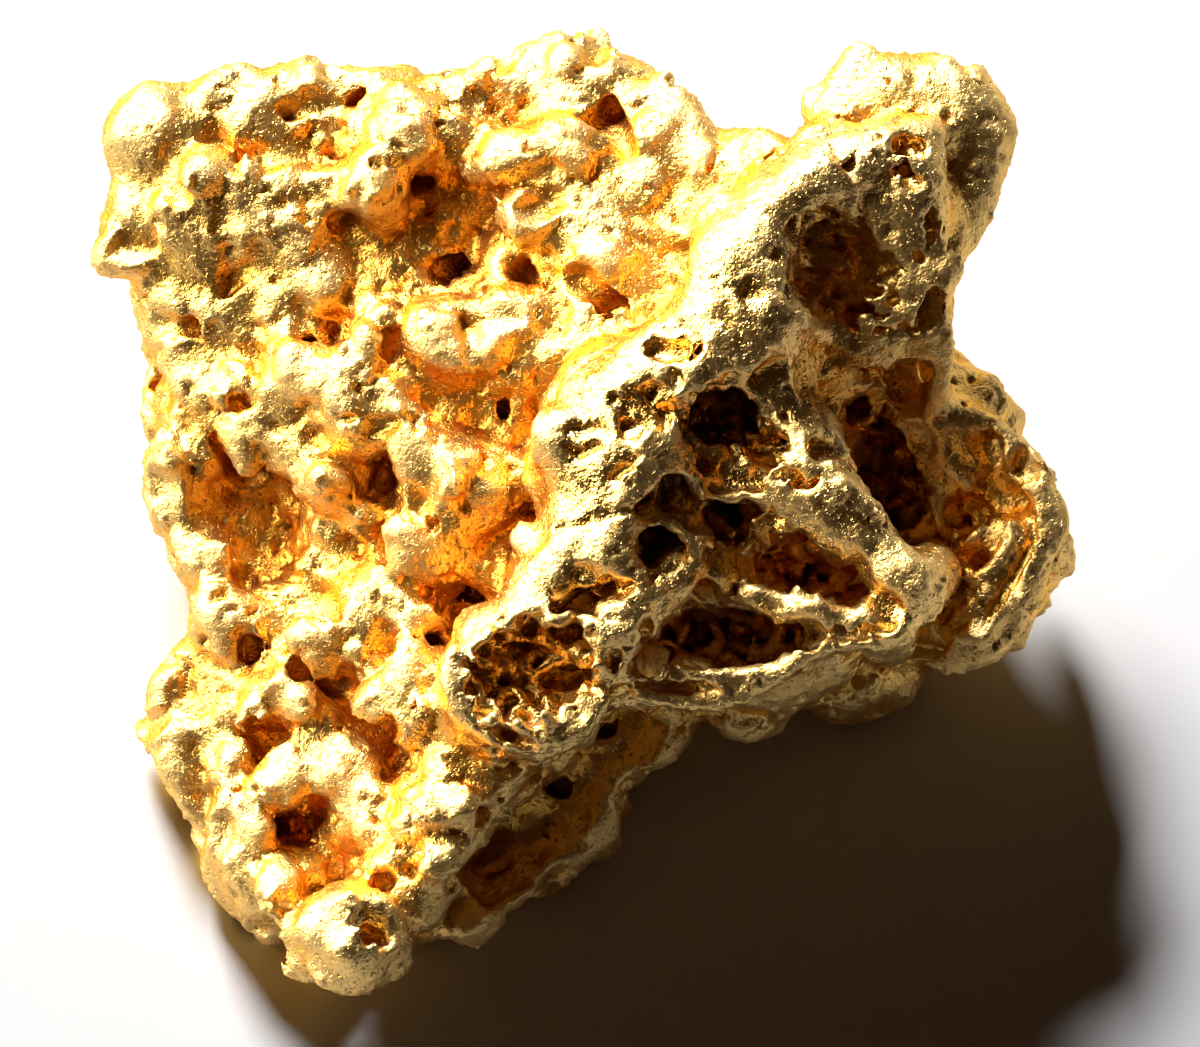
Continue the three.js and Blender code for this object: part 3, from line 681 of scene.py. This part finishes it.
def make_nugget():
    """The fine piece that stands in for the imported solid."""
    solid = solid_mesh("nugget")
    field = Field(*solid)
    round_over(field)
    wobble = 1.0 + WOBBLE["share"] * field.noise(WOBBLE["spacing"], WOBBLE["seed"])
    add_lumps(field, wobble, solid)
    ragged = 1.0 + RAGGED["share"] * field.noise(RAGGED["spacing"], RAGGED["seed"])
    sculpt(field, wobble, ragged)
    add_pits(field, wobble)
    add_texture(field)
    np.maximum(field.value, -field.axis(2)[None, None, :], out=field.value)
    piece = fine_mesh(field)
    mark_surface(piece, field)
    piece.data.materials.append(gold())
    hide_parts("nugget")
    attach(piece, "root")
    return piece


class Nodes:
    """Short ways to add and join the nodes of one material."""

    def __init__(self, name):
        self.material = bpy.data.materials.new(name)
        self.material.use_nodes = True
        self.tree = self.material.node_tree
        self.shader = self.tree.nodes["Principled BSDF"].inputs

    def add(self, kind, **settings):
        """A new node, with some of its inputs or settings given."""
        node = self.tree.nodes.new(kind)
        for key, value in settings.items():
            if key in node.inputs:
                node.inputs[key].default_value = value
            else:
                setattr(node, key, value)
        return node

    def join(self, output, target):
        """Feeds an output into an input."""
        self.tree.links.new(output, target)

    def noise(self, position, kind):
        """Noise whose swells are a given number of millimetres apart."""
        scale = 1.0 / (kind["spacing"] * MM)
        node = self.add("ShaderNodeTexNoise", Scale=scale, Detail=kind["detail"], Roughness=kind["contrast"])
        self.join(position, node.inputs["Vector"])
        return node.outputs["Fac"]

    def scaled(self, value, before=(0.0, 1.0), after=(0.0, 1.0)):
        """A value moved from one range to another, and kept inside it."""
        node = self.add("ShaderNodeMapRange")
        for name, number in zip(("From Min", "From Max", "To Min", "To Max"), before + after):
            node.inputs[name].default_value = number
        self.join(value, node.inputs["Value"])
        return node.outputs["Result"]

    def combined(self, operation, first, second):
        """Two values added, or multiplied."""
        node = self.add("ShaderNodeMath", operation=operation)
        self.join(first, node.inputs[0])
        self.join(second, node.inputs[1])
        return node.outputs["Value"]

    def mixed(self, colour, other, share):
        """A colour that gives way to a fixed one by a share."""
        node = self.add("ShaderNodeMix", data_type="RGBA")
        node.inputs["B"].default_value = other
        self.join(share, node.inputs["Factor"])
        self.join(colour, node.inputs["A"])
        return node.outputs["Result"]

    def bump(self, height, depth, under=None):
        """A bump of so many millimetres, on top of another one."""
        node = self.add("ShaderNodeBump", Strength=1.0, Distance=depth * MM)
        self.join(height, node.inputs["Height"])
        if under:
            self.join(under, node.inputs["Normal"])
        return node.outputs["Normal"]


def gold_colour(nodes, sheltered, frosted, specks):
    """Paled on edges by a painted reflection, darkened in hollows by painted shade and browned by it in
    those of the crest, with dark specks.
    """
    colour = nodes.add("ShaderNodeValToRGB")
    ramp = colour.color_ramp.elements
    ramp[0].color = EDGE_SHEEN_GOLD
    ramp[1].color = HOLLOW_SHADE_GOLD
    for place, between in BETWEEN_GOLD.items():
        ramp.new(place).color = between
    nodes.join(nodes.scaled(sheltered, before=SHELTER_SCALE), colour.inputs["Fac"])
    # Painted brown shade in the crest's hollows, fading out below the crest.
    in_hollows = nodes.scaled(sheltered, before=CREST_HOLLOW_SHADE["sheltered"])
    on_crest = nodes.scaled(frosted, after=(CREST_HOLLOW_SHADE["most"], 0.0))
    hollow_shade_share = nodes.combined("MULTIPLY", in_hollows, on_crest)
    hollow_shaded = nodes.mixed(colour.outputs["Color"], CREST_HOLLOW_SHADE["colour"], hollow_shade_share)
    return nodes.mixed(hollow_shaded, SPECKS["colour"], nodes.scaled(specks, after=(0.0, SPECKS["most"])))


def gold_roughness(nodes, position, sheltered, frosted):
    """Uneven all over, and rougher on edges and below the crest."""
    patches = nodes.scaled(nodes.noise(position, PATCHES), after=PATCHES["roughness"])
    edges = nodes.scaled(sheltered, ROUGH_EDGES["sheltered"], (0.0, ROUGH_EDGES["roughness"]))
    frost = nodes.scaled(frosted, after=(0.0, FROST_ROUGHNESS))
    return nodes.combined("ADD", nodes.combined("ADD", patches, edges), frost)


def gold_relief(nodes, position, specks):
    """Relief that is too fine for the mesh: shallow dents, grain, and specks that lie a little deeper."""
    dents = nodes.bump(nodes.noise(position, DENTS), DENTS["depth"])
    grain = nodes.bump(nodes.noise(position, FINE_GRAIN), FINE_GRAIN["depth"], dents)
    return nodes.bump(nodes.scaled(specks, after=(1.0, 0.0)), SPECKS["depth"], grain)


def gold():
    """Native gold, worn on the crest and frosted below it."""
    nodes = Nodes("gold")
    position = nodes.add("ShaderNodeTexCoord").outputs["Object"]
    sheltered = nodes.add("ShaderNodeAttribute", attribute_name="sheltered").outputs["Fac"]
    frosted = nodes.add("ShaderNodeAttribute", attribute_name="frosted").outputs["Fac"]
    specks = nodes.scaled(nodes.noise(position, SPECKS), before=SPECKS["high"])
    nodes.join(gold_colour(nodes, sheltered, frosted, specks), nodes.shader["Base Color"])
    nodes.join(gold_roughness(nodes, position, sheltered, frosted), nodes.shader["Roughness"])
    nodes.join(gold_relief(nodes, position, specks), nodes.shader["Normal"])
    nodes.shader["Metallic"].default_value = 1.0
    nodes.shader["Specular Tint"].default_value = SHEEN_TINT
    return nodes.material


def make_floor():
    """A plain pale floor that is far wider than the picture."""
    side = FLOOR["half_side"]
    corners = [(-side, -side, 0.0), (side, -side, 0.0), (side, side, 0.0), (-side, side, 0.0)]
    mesh = bpy.data.meshes.new("floor")
    mesh.from_pydata(corners, [], [(0, 1, 2, 3)])
    floor = bpy.data.objects.new("floor", mesh)
    bpy.context.scene.collection.objects.link(floor)
    nodes = Nodes("pale_floor")
    nodes.shader["Base Color"].default_value = FLOOR["colour"]
    nodes.shader["Roughness"].default_value = FLOOR["roughness"]
    mesh.materials.append(nodes.material)


def make_light(nugget):
    """A lamp behind and to the left, a large one on the left for the nugget alone, and a dim surround."""
    lamps = {name: add_lamp(name, **lamp) for name, lamp in LAMPS.items()}
    lit = bpy.data.collections.new("lit_by_fill")
    lit.objects.link(nugget)
    lamps["fill"].light_linking.receiver_collection = lit
    world = bpy.data.worlds.new("surround")
    world.use_nodes = True
    background = world.node_tree.nodes["Background"].inputs
    background["Color"].default_value = SURROUND["colour"]
    background["Strength"].default_value = SURROUND["strength"]
    bpy.context.scene.world = world


def add_lamp(name, away, size, power, colour):
    """A round lamp that shines on the nugget from one way."""
    light = bpy.data.lights.new(name, "AREA")
    light.shape = "DISK"
    light.size = size
    light.energy = power
    light.color = colour
    lamp = bpy.data.objects.new(name, light)
    bpy.context.scene.collection.objects.link(lamp)
    way = Vector(away).normalized()
    lamp.location = way * LAMP_DISTANCE
    lamp.rotation_euler = way.to_track_quat("Z", "Y").to_euler()
    return lamp


def make_camera():
    """Looks down at the nugget as the photograph does."""
    camera = bpy.data.objects.new("camera", bpy.data.cameras.new("camera"))
    bpy.context.scene.collection.objects.link(camera)
    across, up = from_pixel((IMAGE_SIZE[0] / 2.0, IMAGE_SIZE[1] / 2.0))
    aim = CREST_TOP + across * ACROSS + up * UP
    camera.location = Vector(aim + CAMERA_DISTANCE * NEAR) * MM
    camera.rotation_euler = Vector(NEAR).to_track_quat("Z", "Y").to_euler()
    camera.data.sensor_width = SENSOR_WIDTH
    camera.data.lens = SENSOR_WIDTH * CAMERA_DISTANCE * PIXELS_PER_MM / IMAGE_SIZE[0]
    camera.data.clip_start = CLIP_START
    bpy.context.scene.camera = camera


nugget = make_nugget()
make_floor()
make_light(nugget)
make_camera()
bpy.context.scene.view_settings.view_transform = "Standard"
